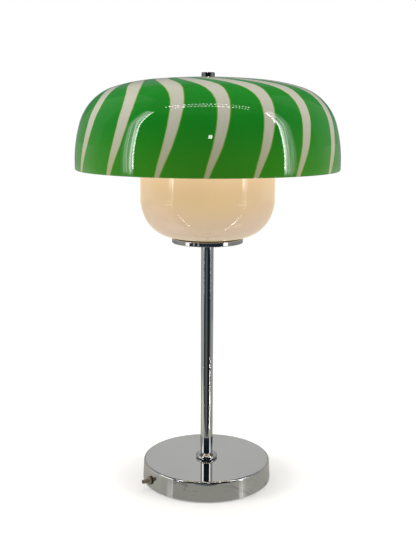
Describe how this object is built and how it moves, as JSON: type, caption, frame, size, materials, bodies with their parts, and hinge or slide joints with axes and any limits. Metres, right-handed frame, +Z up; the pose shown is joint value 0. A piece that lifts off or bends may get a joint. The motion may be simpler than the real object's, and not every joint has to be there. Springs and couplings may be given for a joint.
{
  "type": "mushroom table lamp",
  "caption": "Table lamp with a mushroom-shaped green striped glass shade over an opal glass bowl, on a chrome tube and a round chrome base.",
  "frame": {"origin": "centre of the round base's underside, where the felt meets the table", "axes": "+Z up along the stem, -Y towards the picture's viewer, +X to the viewer's right; the cord gland is in the base's side to the front left"},
  "size_m": [0.3, 0.3, 0.4794],
  "materials": {
    "chrome": "polished chrome plate",
    "green_glass": "glossy blown glass, green with off-white swirl stripes",
    "opal_glass": "glossy opal white glass, lit warm from inside",
    "bulb_opal": "opal coated glass",
    "steel": "zinc-plated steel",
    "iron": "grey iron, as cast",
    "felt": "pressed felt",
    "silicone": "translucent silicone",
    "dark_rubber": "dark brown rubber",
    "nylon": "natural nylon",
    "phenolic": "white moulded thermoset",
    "steatite": "unglazed steatite",
    "brass": "bright brass",
    "nickel": "nickel-plated brass",
    "gland_plastic": "smoky translucent plastic",
    "lead_pvc": "white sheath"
  },
  "bodies": {
    "lamp_frame": {"felt_pad": "felt", "base_plate": "steel", "base_plate_screws": "steel", "base_weight": "iron", "base_shell": "chrome", "cord_gland": "gland_plastic", "gland_nut": "nylon", "terminal_block": "nylon", "terminal_screws": "brass", "inner_lead": "lead_pvc", "threaded_rod": "steel", "rod_foot_nut": "steel", "rod_foot_washer": "steel", "stem_tube": "chrome", "stem_bushes": "nylon", "stem_collar": "chrome", "gallery_plate": "chrome", "bowl_seal": "dark_rubber", "opal_bowl": "opal_glass", "bowl_pad": "silicone", "clamp_washer": "steel", "clamp_nut": "steel", "harp_frame": "steel", "holder_cap": "phenolic", "holder_core": "steatite", "holder_skirt": "phenolic", "thread_sleeve": "brass", "contact_tongue": "brass", "shade_rest": "steel", "rest_seal": "silicone", "shade_screw": "steel", "lock_nut": "steel"},
    "bulb_rise": {"bulb_contact": "nickel"},
    "bulb": {"bulb_cap": "nickel", "bulb_glass": "bulb_opal"},
    "shade": {"glass_shade": "green_glass"},
    "finial_rise": {"finial_washer": "nylon"},
    "finial": {"finial": "chrome"}
  },
  "joints": [
    {"name": "shade_lift", "type": "slide", "parent": "lamp_frame", "child": "shade", "axis": [0, 0, 1], "range_m": [0, 0.12]},
    {"name": "finial_rise", "type": "slide", "parent": "shade", "child": "finial_rise", "axis": [0, 0, 1], "range_m": [0, 0.00344]},
    {"name": "finial_turn", "type": "hinge", "parent": "finial_rise", "child": "finial", "pos_m": [0, 0, 0.478], "axis": [0, 0, 1], "range_deg": [0, 990]},
    {"name": "bulb_rise", "type": "slide", "parent": "lamp_frame", "child": "bulb_rise", "axis": [0, 0, 1], "range_m": [0, 0.00908]},
    {"name": "bulb_turn", "type": "hinge", "parent": "bulb_rise", "child": "bulb", "pos_m": [0, 0, 0.35], "axis": [0, 0, 1], "range_deg": [0, 900]}
  ],
  "couplings": [
    {"joint": "finial_rise", "follows": "finial_turn", "m_per_rad": 0.00019894},
    {"joint": "bulb_rise", "follows": "bulb_turn", "m_per_rad": 0.00057773}
  ]
}
